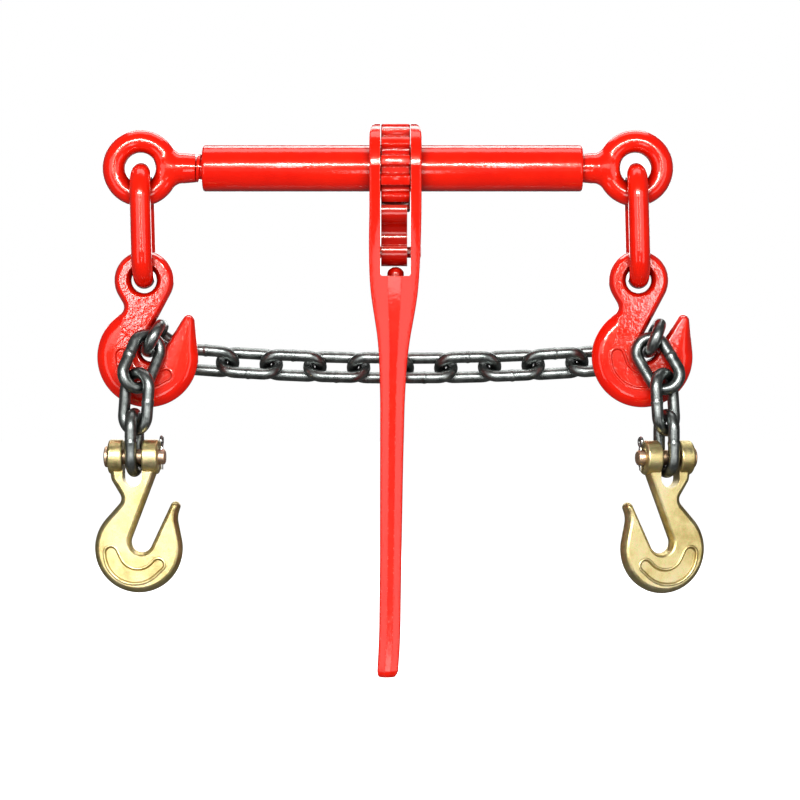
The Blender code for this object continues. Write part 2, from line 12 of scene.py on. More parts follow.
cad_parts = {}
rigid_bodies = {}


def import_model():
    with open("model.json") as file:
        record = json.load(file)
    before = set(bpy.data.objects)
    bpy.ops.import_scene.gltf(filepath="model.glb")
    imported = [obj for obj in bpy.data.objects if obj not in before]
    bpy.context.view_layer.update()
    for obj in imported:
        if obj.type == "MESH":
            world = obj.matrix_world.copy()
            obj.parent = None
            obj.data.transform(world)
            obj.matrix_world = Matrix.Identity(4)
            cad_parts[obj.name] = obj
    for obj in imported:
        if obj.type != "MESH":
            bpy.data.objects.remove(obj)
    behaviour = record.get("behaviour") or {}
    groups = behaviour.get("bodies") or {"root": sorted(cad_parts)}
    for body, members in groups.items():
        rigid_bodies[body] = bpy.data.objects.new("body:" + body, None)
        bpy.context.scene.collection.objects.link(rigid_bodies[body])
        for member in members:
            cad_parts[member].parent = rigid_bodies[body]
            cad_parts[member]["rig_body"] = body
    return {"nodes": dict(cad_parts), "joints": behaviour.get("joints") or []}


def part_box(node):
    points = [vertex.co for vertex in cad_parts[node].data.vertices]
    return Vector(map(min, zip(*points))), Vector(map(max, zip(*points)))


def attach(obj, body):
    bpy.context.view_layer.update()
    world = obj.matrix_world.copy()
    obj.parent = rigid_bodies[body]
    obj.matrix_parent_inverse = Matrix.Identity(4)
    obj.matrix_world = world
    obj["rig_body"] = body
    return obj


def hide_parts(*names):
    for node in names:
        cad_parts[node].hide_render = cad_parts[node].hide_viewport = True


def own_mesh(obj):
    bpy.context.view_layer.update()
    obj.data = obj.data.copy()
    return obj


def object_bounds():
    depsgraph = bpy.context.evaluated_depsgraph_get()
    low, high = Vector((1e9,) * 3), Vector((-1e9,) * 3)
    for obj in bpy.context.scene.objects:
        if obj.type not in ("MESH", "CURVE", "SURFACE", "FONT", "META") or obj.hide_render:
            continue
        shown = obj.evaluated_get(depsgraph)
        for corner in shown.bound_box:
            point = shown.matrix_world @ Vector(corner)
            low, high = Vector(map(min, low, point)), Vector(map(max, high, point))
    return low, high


MM = 0.001
X = Vector((1, 0, 0))
Y = Vector((0, 1, 0))
Z = Vector((0, 0, 1))
WHITE = (1.0, 1.0, 1.0, 1.0)

# Barrel and gear. Edges hold how far in from an end, and how far in from the full radius.
BARREL_R = 15.6
BARREL_EDGE = ((0.0, -2.2), (0.12, -1.3), (0.5, -0.6), (1.1, -0.18), (2.0, 0.0))
BORE_R = 9.8
BORE_GROOVES = 9
BORE_GROOVE = ((-0.5, 0.1), (-1.1, 1.2), (-2.4, 1.2), (-3.0, 0.1))
GEAR_TEETH = 13
GEAR_X = (-7.6, 11.7)
GEAR_BORE_R = 15.9
# Half a tooth, as share of the pitch and radius, from its root to the middle of its tip.
HALF_TOOTH = (
    (-0.46, 25.0),
    (-0.36, 25.05),
    (-0.31, 25.6),
    (-0.23, 28.9),
    (-0.20, 29.4),
    (-0.17, 29.5),
)
GEAR_EDGE = ((0.0, 0.9), (0.35, 0.3), (0.9, 0.0))

# Eye screws.
EYE_RING_R = 17.95
EYE_WIRE_R = 7.55
EYE_REACH = EYE_RING_R + EYE_WIRE_R
# Distance from the ring's middle, and radius.
NECK = (
    (8.0, 5.0),
    (17.6, 7.6),
    (24.0, 9.8),
    (29.0, 10.2),
    (33.0, 9.8),
    (37.0, 9.5),
    (60.0, 9.4),
)
NECK_START = 12.0
NECK_END = 37.0
NECK_BLEND = 5.0
EYE_VOXEL = 0.62
THREAD_PITCH = 25.4 / 6
THREAD_R = (7.4, 9.35)
THREAD_SIDES = 40
PAINTED_THREAD = 4.6

# Handle. The grip's rows hold z, middle x, half width, and half depth at the middle.
FORK_X = (-15.4, 19.4)
FORK_R = 29.8
WINDOW_X = (-8.0, 12.1)
WINDOW_FLOOR_Z = -72.7
WINDOW_CORNER_R = 1.6
WASHER_SEAT_R = 21.9
WASHER_SEAT_DEEP = 2.0
FORK_BORE_R = 16.0
DETENT_BORE_R = 6.0
DETENT_BORE_Z = (-112.5, -70.5)
GRIP = (
    (-14.0, 2.0, 17.4, 26.6),
    (-30.0, 2.0, 17.4, 23.6),
    (-48.0, 1.6, 17.4, 20.4),
    (-66.0, 1.3, 17.0, 17.6),
    (-80.0, 1.2, 16.2, 15.4),
    (-92.0, 1.2, 14.6, 13.8),
    (-104.0, 1.1, 12.5, 12.8),
    (-117.0, 0.8, 10.4, 12.0),
    (-132.0, 0.4, 9.2, 11.4),
    (-155.0, 0.0, 8.2, 11.0),
    (-200.0, -0.6, 7.7, 10.6),
    (-260.0, -1.2, 7.2, 10.1),
    (-310.0, -1.8, 7.1, 9.9),
    (-328.0, -2.6, 7.1, 9.8),
    (-336.0, -3.4, 6.9, 9.5),
)
GRIP_END = ((-338.6, -3.65, 6.2, 8.8), (-339.9, -3.78, 5.2, 7.8), (-340.3, -3.8, 3.9, 6.6))
FORK_DEGREES = (84, 78, 70, 62, 54, 46, 38, 30, 22, 14, 6, 0)
CORNER_R = 1.5
FRONT_FLAT = 0.27
FRONT_FALL = 0.23

# Pawl and plunger.
PAWL_X = (-7.6, 9.8)
PAWL_PIVOT_Z = -56.0
PAWL_HOLE_R = 4.3
PAWL_BODY_R = 9.6
# The flank holds y, z from the pivot; horn and saddle hold angle, radius from the barrel's axis.
PAWL_FLANK = (
    (9.7, 4.2),
    (9.0, 5.6),
    (7.7, 7.6),
    (7.2, 10.5),
    (7.7, 13.6),
    (9.8, 16.7),
    (12.6, 18.8),
)
PAWL_HORN = ((25.5, 38.0), (28.5, 36.2), (31.0, 34.4), (32.6, 32.6), (33.5, 30.9), (33.1, 30.4))
PAWL_HORN_INNER = ((31.0, 30.4), (30.2, 30.8), (28.2, 32.6), (25.6, 34.8), (20.5, 36.9))
PAWL_SADDLE = ((14.0, 38.1), (7.0, 38.8), (0.0, 39.0))
PLUNGER_R = 5.7
PLUNGER_SOCKET = (4.1, 15.0)
PLUNGER_TOP_Z = -66.0
PLUNGER_BOTTOM_Z = -88.0
PLUNGER_DOME = 4.6
SPRING_WIRE_R = 0.5
SPRING_TURNS = 6

# Links: wire radius, inside length and inside width.
CHAIN = (3.93, 30.14, 11.84)
CONNECTING = (6.9, 57.0, 19.0)
WELD_RISE = 0.34

# Hooks, drawn from the centre of the eye or of the pin: circles of an arc-and-tangent outline
# as x, z, radius (negative where hollow), share of the edge rounding and steps.
HOOK_HALF_THICK = 6.1
EYE_HOOK = (
    (0.0, 0.0, 19.9, 1.0, 52),
    (-19.3, -17.9, -5.8, 1.0, 14),
    (2.4, -51.2, 33.8, 2.0, 60),
    (29.8, -27.0, 4.1, 0.72, 22),
    (4.5, -47.7, -6.4, 0.8, 26),
)
EYE_HOOK_KIDNEY = (
    (-14.5, -50.0, 4.2, 1.0, 16),
    (2.0, -51.5, 20.7, 1.0, 30),
    (15.0, -63.5, 4.0, 1.0, 16),
    (3.5, -50.0, -12.8, 1.0, 24),
)
EYE_HOOK_TOP = 19.9
EYE_HOOK_LEFT = 31.4
EYE_HOLE_R = 8.4
EYE_HOLE_FLARE = 3.2
EYE_HOLE_LEVELS = (-1.15, -1.0, -0.85, -0.65, -0.4, 0.0, 0.4, 0.65, 0.85, 1.0, 1.15)
CLEVIS_HOOK = (
    (6.2, -6.0, 10.0, 0.9, 14),
    (-6.6, -6.0, 10.0, 0.9, 14),
    (-7.8, -12.5, 7.8, 0.9, 10),
    (-13.9, -27.6, -5.2, 1.0, 14),
    (3.05, -60.5, 29.3, 1.0, 60),
    (43.5, -40.5, -14.3, 1.0, 14),
    (27.5, -32.6, 3.3, 0.72, 20),
    (5.2, -56.0, -6.9, 0.8, 26),
)
CLEVIS_KIDNEY = (
    (-14.7, -63.2, 4.0, 1.0, 16),
    (1.2, -63.6, 19.8, 1.0, 30),
    (16.8, -71.0, 3.8, 1.0, 16),
    (3.0, -61.7, -12.6, 1.0, 24),
)
EAR_R = 11.4
EARS_X = ((-16.8, -6.9), (5.8, 16.6))
EAR_EDGE = ((0.0, -1.5), (0.15, -0.9), (0.6, -0.35), (1.3, 0.0))
CLEVIS_SLOT_FLOOR_Z = -20.0
CLEVIS_SLOT_EASE = 0.15
PIN_R = 5.15
PIN_HOLE_R = 5.45
PIN_X = (-17.1, 20.8)
PIN_HEAD_R = 7.0
PIN_HEAD_DEEP = 2.9
COTTER_X = 18.2
COTTER_HOLE_R = 1.4
COTTER_WIRE_R = 1.1
COTTER_EYE_R = 2.8
COTTER_LEG_Z = (-8.4, 6.2)
COTTER_EYE_RISE = 4.2
# Height as a share of the half thickness, and how far in the hook's edge stands there.
EDGE = ((1.0, 3.8), (0.95, 3.0), (0.88, 2.35), (0.76, 1.75), (0.62, 1.3), (0.42, 0.62), (0.2, 0.14))
RECESS_DEEP = 1.1
RIM_HIGH = 0.55

# Camera and stage, in metres. Lights hold name, place, size and watts.
CAMERA_AT = (0.0004, -2.0025, 0.0004)
SHOT_WIDE = 0.536
SENSOR = 36.0
FLOOR_BELOW = 0.012
FLOOR_REACH = 12.0
WORLD_LIGHT = 0.09
LIGHTS = (
    ("key_strip", (-0.1, -1.9, 0.62), (1.3, 0.12), 34.0),
    ("key_soft", (0.0, -1.95, 0.64), (1.2, 0.45), 3.0),
    ("left_strip", (-0.36, -1.92, 0.48), (0.07, 0.8), 3.0),
    ("right_strip", (0.36, -1.92, 0.48), (0.07, 0.8), 3.0),
    ("left_panel", (-0.75, -1.9, 0.5), (0.6, 0.7), 2.4),
    ("right_panel", (0.75, -1.9, 0.5), (0.6, 0.7), 2.4),
    ("left_side", (-1.2, -1.4, -0.1), (0.6, 1.5), 4.5),
    ("right_side", (1.2, -1.4, -0.1), (0.6, 1.5), 4.5),
    ("low_fill", (0.0, -1.9, -0.28), (1.4, 0.4), 0.35),
    ("floor_bounce", (0.0, -1.85, -0.6), (0.3, 0.5), 1.8),
    ("top", (0.0, 0.1, 1.7), (1.6, 0.6), 6.0),
    ("back_top", (0.0, 0.75, 1.2), (1.2, 0.4), 7.0),
    ("back_fill", (0.0, 1.9, 0.5), (1.6, 0.8), 11.0),
)

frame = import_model()
cad_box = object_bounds()
joints = {joint["name"]: joint for joint in frame["joints"]}
AXLE = sum(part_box("barrel_tube"), Vector((0, 0, 0))) / 2


# ---------------------------------------------------------------- materials
def shader(name):
    mat = bpy.data.materials.new(name)
    mat.use_nodes = True
    tree = mat.node_tree
    return mat, tree, tree.nodes["Principled BSDF"]


def node(tree, kind, **values):
    made = tree.nodes.new(kind)
    for key, value in values.items():
        if key in made.inputs:
            made.inputs[key].default_value = value
        else:
            setattr(made, key, value)
    return made


def noise(tree, scale, detail=4.0, rough=0.6):
    made = node(tree, "ShaderNodeTexNoise", Scale=scale, Detail=detail, Roughness=rough)
    place = node(tree, "ShaderNodeTexCoord").outputs["Object"]
    tree.links.new(place, made.inputs["Vector"])
    return made.outputs["Fac"]


def ramp(tree, fac, stops):
    made = node(tree, "ShaderNodeValToRGB")
    elements = made.color_ramp.elements
    while len(elements) < len(stops):
        elements.new(0.5)
    for element, (place, colour) in zip(elements, stops):
        element.position = place
        element.color = colour if len(colour) == 4 else (*colour, 1.0)
    tree.links.new(fac, made.inputs["Fac"])
    return made.outputs["Color"]


def spread(tree, fac, low, high, start=0.3, stop=0.7):
    """Goes from low to high as fac goes from start to stop."""
    made = node(tree, "ShaderNodeMapRange")
    made.inputs["From Min"].default_value = start
    made.inputs["From Max"].default_value = stop
    made.inputs["To Min"].default_value = low
    made.inputs["To Max"].default_value = high
    tree.links.new(fac, made.inputs["Value"])
    return made.outputs["Result"]


def blend(tree, fac, a, b, mode="MIX"):
    made = node(tree, "ShaderNodeMix", data_type="RGBA", blend_type=mode)
    for value, key in ((fac, "Factor"), (a, "A"), (b, "B")):
        socket = next(s for s in made.inputs if s.name == key and s.enabled)
        if isinstance(value, bpy.types.NodeSocket):
            tree.links.new(value, socket)
        else:
            socket.default_value = value
    return next(s for s in made.outputs if s.enabled)


def rounded(tree, radius_mm):
    bevel = node(tree, "ShaderNodeBevel", samples=4)
    bevel.inputs["Radius"].default_value = radius_mm * MM
    return bevel.outputs["Normal"]


def bump(tree, height, strength, distance_mm, normal=None):
    made = node(tree, "ShaderNodeBump", Strength=strength)
    made.inputs["Distance"].default_value = distance_mm * MM
    tree.links.new(height, made.inputs["Height"])
    if normal:
        tree.links.new(normal, made.inputs["Normal"])
    return made.outputs["Normal"]


def edge_mask(tree, radius_mm):
    """One near an edge and nothing away from it."""
    made = node(tree, "ShaderNodeVectorMath", operation="DOT_PRODUCT")
    tree.links.new(rounded(tree, radius_mm), made.inputs[0])
    tree.links.new(node(tree, "ShaderNodeNewGeometry").outputs["Normal"], made.inputs[1])
    return spread(tree, made.outputs["Value"], 1.0, 0.0, 0.90, 0.99)


def product(tree, a, b):
    made = node(tree, "ShaderNodeMath", operation="MULTIPLY")
    tree.links.new(a, made.inputs[0])
    tree.links.new(b, made.inputs[1])
    return made.outputs["Value"]


def painted_shade(tree, reach_mm, deepest, open_share=0.85):
    """Painted shade: one in the open, down to deepest where neighbours close in."""
    made = node(tree, "ShaderNodeAmbientOcclusion", samples=6)
    made.inputs["Distance"].default_value = reach_mm * MM
    return spread(tree, made.outputs["AO"], deepest, 1.0, 0.25, open_share)


def red_paint(name, round_mm=0.0, chips_and_glints=0.0, reach_mm=14.0, open_share=0.85):
    """Thick glossy enamel over forged steel: orange peel, faint mottling, painted shade in
    recesses, and a painted highlight along the edges, with pale spots there that are painted glints
    drawn as chips."""
    mat, tree, out = shader(name)
    reds = ((0.3, (0.78, 0.006, 0.0008)), (0.7, (0.90, 0.011, 0.0012)))
    mottle = ramp(tree, noise(tree, 38.0), reds)
    grime = ramp(tree, noise(tree, 900.0, 2.0), ((0.30, (0.55, 0.50, 0.5)), (0.38, (1, 1, 1))))
    colour = blend(tree, 0.2, mottle, grime, "MULTIPLY")
    # Painted shade: the colour darkens towards deep red where neighbouring parts close in.
    shade_depth = painted_shade(tree, reach_mm, 0.0, open_share)
    dark = blend(tree, shade_depth, (0.16, 0.002, 0.003, 1.0), WHITE)
    colour = blend(tree, 0.85, colour, dark, "MULTIPLY")
    if chips_and_glints:
        edge = edge_mask(tree, 0.9)
        # Painted highlight: the edges are lightened to pale red.
        edge_highlight = spread(tree, edge, 0.0, 0.35, 0.2, 1.0)
        colour = blend(tree, edge_highlight, colour, (1.0, 0.16, 0.10, 1.0))
        # Pale spots along the edges: painted glints drawn as chips in the paint.
        chip_glint_spots = product(tree, edge, spread(tree, noise(tree, 620.0, 3.0), 0.0, chips_and_glints, 0.56, 0.62))
        colour = blend(tree, chip_glint_spots, colour, (0.85, 0.62, 0.55, 1.0))
    tree.links.new(colour, out.inputs["Base Color"])
    tree.links.new(spread(tree, noise(tree, 120.0), 0.17, 0.27), out.inputs["Roughness"])
    out.inputs["Specular IOR Level"].default_value = 0.4
    out.inputs["Specular Tint"].default_value = (1.0, 0.62, 0.42, 1.0)
    out.inputs["Coat Weight"].default_value = 1.0
    out.inputs["Coat Roughness"].default_value = 0.06
    normal = rounded(tree, round_mm) if round_mm else None
    peel = bump(tree, noise(tree, 420.0, 2.0), 0.10, 0.6, normal)
    cast = bump(tree, noise(tree, 90.0, 3.0), 0.10, 1.2, peel)
    tree.links.new(cast, out.inputs["Normal"])
    tree.links.new(cast, out.inputs["Coat Normal"])
    return mat


def chain_steel(name):
    """Dark oiled alloy steel: polished legs, mill scale in patches, drawing marks."""
    mat, tree, out = shader(name)
    scale = noise(tree, 160.0, 6.0, 0.7)
    stops = ((0.34, (0.14, 0.155, 0.148)), (0.52, (0.27, 0.29, 0.28)), (0.72, (0.42, 0.45, 0.43)))
    # Painted shade: the colour goes almost black where links close in on each other.
    scale_and_shade = blend(tree, painted_shade(tree, 7.0, 0.3), (0.02, 0.02, 0.02, 1.0), ramp(tree, scale, stops))
    tree.links.new(scale_and_shade, out.inputs["Base Color"])
    out.inputs["Metallic"].default_value = 1.0
    tree.links.new(spread(tree, noise(tree, 260.0, 5.0), 0.26, 0.40), out.inputs["Roughness"])
    pits = bump(tree, noise(tree, 1100.0, 3.0), 0.12, 0.25)
    dents = bump(tree, noise(tree, 210.0, 2.0), 0.12, 0.6, pits)
    tree.links.new(dents, out.inputs["Normal"])
    return mat


def zinc_plate(name, tint=(0.86, 0.73, 0.36), round_mm=0.25):
    """Yellow zinc chromate: pale gold with pink and green drifts over a shot-blasted skin."""
    mat, tree, out = shader(name)
    deep = tuple(c * s for c, s in zip(tint, (0.72, 0.66, 0.52)))
    pale = tuple(min(1.0, c * s) for c, s in zip(tint, (1.08, 1.12, 1.5)))
    base = ramp(tree, noise(tree, 60.0, 5.0), ((0.3, deep), (0.5, tint), (0.74, pale)))
    film = ramp(
        tree,
        noise(tree, 1300.0, 4.0, 0.7),
        ((0.36, (0.74, 0.90, 0.60)), (0.5, (1.0, 1.0, 1.0)), (0.62, (1.0, 0.72, 0.72))),
    )
    colour = blend(tree, 0.8, base, film, "MULTIPLY")
    # Painted shade: the colour goes dark brown in recesses.
    zinc_and_shade = blend(tree, painted_shade(tree, 8.0, 0.35), (0.10, 0.06, 0.02, 1.0), colour)
    tree.links.new(zinc_and_shade, out.inputs["Base Color"])
    out.inputs["Metallic"].default_value = 1.0
    tree.links.new(spread(tree, noise(tree, 340.0, 4.0), 0.30, 0.50), out.inputs["Roughness"])
    grain = bump(tree, noise(tree, 1300.0, 3.0), 0.4, 0.3, rounded(tree, round_mm))
    tree.links.new(grain, out.inputs["Normal"])
    return mat


def bright_steel(name):
    """Turned or rolled bright steel with a film of grease."""
    mat, tree, out = shader(name)
    stops = ((0.35, (0.30, 0.30, 0.29)), (0.65, (0.58, 0.58, 0.56)))
    tree.links.new(ramp(tree, noise(tree, 220.0, 5.0), stops), out.inputs["Base Color"])
    out.inputs["Metallic"].default_value = 1.0
    tree.links.new(spread(tree, noise(tree, 500.0), 0.20, 0.38), out.inputs["Roughness"])
    tree.links.new(bump(tree, noise(tree, 1400.0, 2.0), 0.1, 0.2), out.inputs["Normal"])
    return mat


PAINT = red_paint("red_enamel_round")
PAINT_EDGED = red_paint("red_enamel_edged", 1.1, 0.8)
PAINT_FORGED = red_paint("red_enamel_forged", 0.5, 0.3)
# Enamel with strong, wide painted shade, for the pawl between the fork's cheeks.
PAINT_SHADED = red_paint("red_enamel_deep_shade", 0.6, 0.5, 60.0, 1.6)
PAINT_THREAD = red_paint("red_enamel_thread", 0.0, 0.0, 2.0, 0.5)
CHAIN_STEEL = chain_steel("chain_steel_dark")
ZINC = zinc_plate("zinc_plate_hook")
ZINC_PIN = zinc_plate("zinc_plate_pin", (0.85, 0.60, 0.40), 0.15)
BRIGHT = bright_steel("bright_steel_greased")


# ---------------------------------------------------------------- mesh helpers
def skin(bm, rings, closed):
    """Joins rings of points, each to the next, and caps the two ends unless closed."""
    rows = [[bm.verts.new(point) for point in ring] for ring in rings]
    count = len(rows[0])
    for i in range(len(rows) if closed else len(rows) - 1):
        a = rows[i]
        b = rows[(i + 1) % len(rows)]
        for j in range(count):
            k = (j + 1) % count
            bm.faces.new((a[j], a[k], b[k], b[j]))
    if not closed:
        bm.faces.new(rows[0])
        bm.faces.new(rows[-1])


def heading(path, i):
    """The direction of a path of points at its point i."""
    return (path[min(i + 1, len(path) - 1)] - path[max(i - 1, 0)]).normalized()


def circle(centre, radius, u, v, steps):
    turn = [2 * math.pi * i / steps for i in range(steps)]
    return [centre + radius * (math.cos(t) * u + math.sin(t) * v) for t in turn]


def lathe(start, axis, profile, steps, closed=False):
    """A solid (or, closed, a ring) turned about an axis; profile holds distance, radius."""
    u = Y if abs(axis.x) > 0.5 else X
    v = axis.cross(u)
    bm = bmesh.new()
    skin(bm, [circle(start + axis * d, r, u, v, steps) for d, r in profile], closed)
    return bm


def linked(name, data):
    obj = bpy.data.objects.new(name, data)
    bpy.context.scene.collection.objects.link(obj)
    return obj


def object_of(name, bm):
    bmesh.ops.recalc_face_normals(bm, faces=bm.faces)
    mesh = bpy.data.meshes.new(name)
    bm.to_mesh(mesh)
    bm.free()
    return linked(name, mesh)


def in_place(origin):
    """From millimetres about origin to metres in the frame."""
    return Matrix.Translation(origin) @ Matrix.Scale(MM, 4)


def body(name, bm, origin, turn=None):
    """An object from points in millimetres about origin, which is in metres."""
    obj = object_of(name, bm)
    if turn:
        obj.data.transform(turn)
    obj.data.transform(in_place(origin))
    return obj


def evaluated(obj):
    """Bakes the object's modifiers into its mesh."""
    bpy.context.view_layer.update()
    graph = bpy.context.evaluated_depsgraph_get()
    obj.data = bpy.data.meshes.new_from_object(obj.evaluated_get(graph))
    obj.modifiers.clear()


def combine(obj, others, operation):
    for other in others:
        modifier = obj.modifiers.new("cut", "BOOLEAN")
        modifier.operation = operation
        modifier.solver = "EXACT"
        modifier.object = other
    evaluated(obj)
    for other in others:
        bpy.data.objects.remove(other, do_unlink=True)


def show(obj, mat, nodes, sharp_deg=32.0):
    """Gives a finished piece its material and hands it to the body its CAD node moves with."""
    obj.data.materials.clear()
    obj.data.materials.append(mat)
    obj.data.shade_smooth()
    obj.data.set_sharp_from_angle(angle=math.radians(sharp_deg))
    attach(obj, frame["nodes"][nodes[0]]["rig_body"])
    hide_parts(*nodes)
    return obj


# ---------------------------------------------------------------- barrel and gear
def barrel():
    low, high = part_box("barrel_tube")
    half = (high.x - low.x) / 2 / MM
    profile = [(-half + d, BARREL_R + r) for d, r in BARREL_EDGE]
    profile += [(half - d, BARREL_R + r) for d, r in reversed(BARREL_EDGE)]
    profile += [(half, BORE_R + 1.0), (half - 0.8, BORE_R + 0.1)]
    for sign in (1, -1):
        for i in range(BORE_GROOVES)[::sign]:
            at = half - 1.6 - i * THREAD_PITCH
            for shift, deep in BORE_GROOVE[::sign]:
                profile.append((sign * (at + shift), BORE_R + deep))
    profile += [(-half + 0.8, BORE_R + 0.1), (-half, BORE_R + 1.0)]
    tube = body("barrel_tube_skin", lathe(Vector(), X, profile, 112, True), AXLE)
    show(tube, PAINT, ["barrel_tube"], 40.0)


def gear():
    pitch = 2 * math.pi / GEAR_TEETH
    tooth = HALF_TOOTH + tuple((-s, r) for s, r in reversed(HALF_TOOTH))
    rings = []
    start, stop = GEAR_X
    levels = [(start + d, drop) for d, drop in GEAR_EDGE]
    levels += [(stop - d, drop) for d, drop in reversed(GEAR_EDGE)]
    for x, drop in levels:
        ring = []
        for number in range(GEAR_TEETH):
            for share, r in tooth:
                angle = (number + 0.5 + share) * pitch - math.pi / 2
                ring.append(Vector((x, (r - drop) * math.cos(angle), (r - drop) * math.sin(angle))))
        rings.append(ring)
    bm = bmesh.new()
    skin(bm, rings, False)
    wheel = body("ratchet_gear_skin", bm, AXLE)
    through = stop - start + 4
    bore = lathe(Vector((start - 2, 0, 0)), X, ((0, GEAR_BORE_R), (through, GEAR_BORE_R)), 96)
    combine(wheel, [body("bore", bore, AXLE)], "DIFFERENCE")
    show(wheel, PAINT_EDGED, ["ratchet_gear"], 28.0)


# ---------------------------------------------------------------- eye screws
def smooth_least(a, b, k):
    """The lesser of a and b, with the corner between them rounded over k."""
    h = np.clip(0.5 + 0.5 * (b - a) / k, 0, 1)
    return b * (1 - h) + a * h - k * h * (1 - h)


def eye_distance(p, inward):
    """How far each point is outside the eye's ring blended into its neck."""
    ring = np.hypot(np.hypot(p[:, 0], p[:, 2]) - EYE_RING_R, p[:, 1]) - EYE_WIRE_R
    along = p[:, 0] * inward
    places, radii = zip(*NECK)
    neck = np.hypot(p[:, 1], p[:, 2]) - np.interp(along, places, radii)
    neck = np.maximum(np.maximum(neck, along - NECK_END), NECK_START - along)
    return smooth_least(ring, neck, NECK_BLEND)


def settle(points, distance):
    """Moves points onto the surface where distance is zero."""
    step = 0.05
    for _ in range(5):
        f = distance(points)
        slope = np.stack([distance(points + step * axis) - f for axis in np.eye(3)], 1) / step
        size = np.maximum((slope**2).sum(1), 0.25)
        points = points - slope * (f / size)[:, None]
    return points


def eye_screw(side, inward):
    """A ring and its neck, melted into one forging, and the thread as a piece of its own."""
    node_name = f"eye_screw_{side}"
    low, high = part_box(node_name)
    x = low.x + EYE_REACH * MM if inward > 0 else high.x - EYE_REACH * MM
    centre = Vector((x, AXLE.y, AXLE.z))
    bm = bmesh.new()
    rings = []
    for i in range(48):
        angle = 2 * math.pi * i / 48
        out = math.cos(angle) * X + math.sin(angle) * Z
        rings.append(circle(EYE_RING_R * out, EYE_WIRE_R, out, Y, 24))
    skin(bm, rings, True)
    places = [p for p in NECK if NECK_START < p[0] <= NECK_END]
    skin(bm, [circle(X * inward * d, r + 0.6, Y, Z * inward, 32) for d, r in places], False)
    eye = object_of(f"{node_name}_eye", bm)
    remesh = eye.modifiers.new("forge", "REMESH")
    remesh.mode = "VOXEL"
    remesh.voxel_size = EYE_VOXEL
    evaluated(eye)
    points = np.empty(len(eye.data.vertices) * 3)
    eye.data.vertices.foreach_get("co", points)
    points = settle(points.reshape(-1, 3), lambda p: eye_distance(p, inward))
    eye.data.vertices.foreach_set("co", points.ravel())
    eye.data.transform(in_place(centre))
    show(eye, PAINT, [node_name], 50.0)
    end = (high.x - x if inward > 0 else x - low.x) / MM
    thread = body(f"{node_name}_thread", screw_thread(inward, NECK_END - 0.8, end), centre)
    show(thread, BRIGHT, [node_name], 24.0)
    thread.data.materials.append(PAINT_THREAD)
    painted = (NECK_END + PAINTED_THREAD) * MM
    for face in thread.data.polygons:
        face.material_index = int(abs(face.center.x - centre.x) < painted)


def screw_thread(inward, start, stop):
    """A trapezoidal thread cut along the shank, right-hand on one screw, left-hand on the other."""
    root, crest = THREAD_R
    flats = ((0.0, root), (0.30, root), (0.42, crest), (0.88, crest), (1.0, root))
    places, radii = zip(*flats)
    step = THREAD_PITCH / 12
    count = int((stop - start) / step)
    bm = bmesh.new()
    rings = []
    for i in range(count + 1):
        d = start + (stop - start) * i / count
        fade = min(1.0, (stop - d) / 3.0 + 0.35)
        ring = []
        for j in range(THREAD_SIDES):
            angle = 2 * math.pi * j / THREAD_SIDES
            phase = (d / THREAD_PITCH + inward * angle / (2 * math.pi)) % 1.0
            r = root + (np.interp(phase, places, radii) - root) * fade
            ring.append(Vector((inward * d, r * math.cos(angle), r * math.sin(angle))))
        rings.append(ring)
    skin(bm, rings, False)
    return bm


# ---------------------------------------------------------------- handle
def section(z, mid, half_wide, half_deep, share=1.0):
    """A rounded section: a narrow front flat, two sloping faces and round corners."""
    corner = min(CORNER_R, half_deep * 0.3)
    flat = FRONT_FLAT * half_wide
    deep = half_deep - FRONT_FALL * half_wide * share
    side = half_wide - corner
    quarter = [(flat * 0.5, half_deep), (flat, half_deep)]
    quarter.append(((flat + side) / 2, (half_deep + deep) / 2))
    for degrees in range(0, 91, 18):
        angle = math.radians(degrees)
        quarter.append((side + corner * math.sin(angle), deep - corner + corner * math.cos(angle)))
    loop = quarter + [(x, -y) for x, y in reversed(quarter)]
    loop += [(-x, -y) for x, y in quarter] + [(-x, y) for x, y in reversed(quarter)]
    return [Vector((mid + x, y, z)) for x, y in loop]


def handle_rings():
    """Sections from the fork's round top down to the grip's end."""
    rings = []
    mid = sum(FORK_X) / 2
    wide = (FORK_X[1] - FORK_X[0]) / 2
    for degrees in FORK_DEGREES:
        angle = math.radians(degrees)
        z = FORK_R * math.sin(angle)
        narrow = 3.4 * (z / FORK_R) ** 10
        deep = FORK_R * math.cos(angle)
        fuller = deep + 0.6 * math.sin(angle)
        rings.append(section(z, mid, wide - narrow, fuller, min(0.3, deep * 0.03)))
    knots = np.array(GRIP)
    heights = knots[::-1, 0]
    for z in np.concatenate([np.arange(-6.0, -336.0, -5.0), [-336.0]]):
        if z > GRIP[0][0]:
            share = z / GRIP[0][0]
            deep = FORK_R + (GRIP[0][3] - FORK_R) * share
            rings.append(section(z, mid, wide, deep, 0.3 + 0.2 * share))
            continue
        near = z + np.array((-6.0, -2.0, 2.0, 6.0))
        values = [np.interp(near, heights, knots[::-1, k]).mean() for k in range(1, 4)]
        rings.append(section(z, *values, min(1.0, 0.5 + (GRIP[0][0] - z) / 90.0)))
    return rings + [section(z, m, w, d) for z, m, w, d in GRIP_END]


def window_ring(y, top):
    left, right = WINDOW_X
    r = WINDOW_CORNER_R
    ring = [Vector((left, y, top)), Vector((right, y, top))]
    for x, first in ((right - r, 0), (left + r, -90)):
        for step in range(6):
            a = math.radians(first - 18 * step)
            ring.append(Vector((x + r * math.cos(a), y, WINDOW_FLOOR_Z + r + r * math.sin(a))))
    return ring


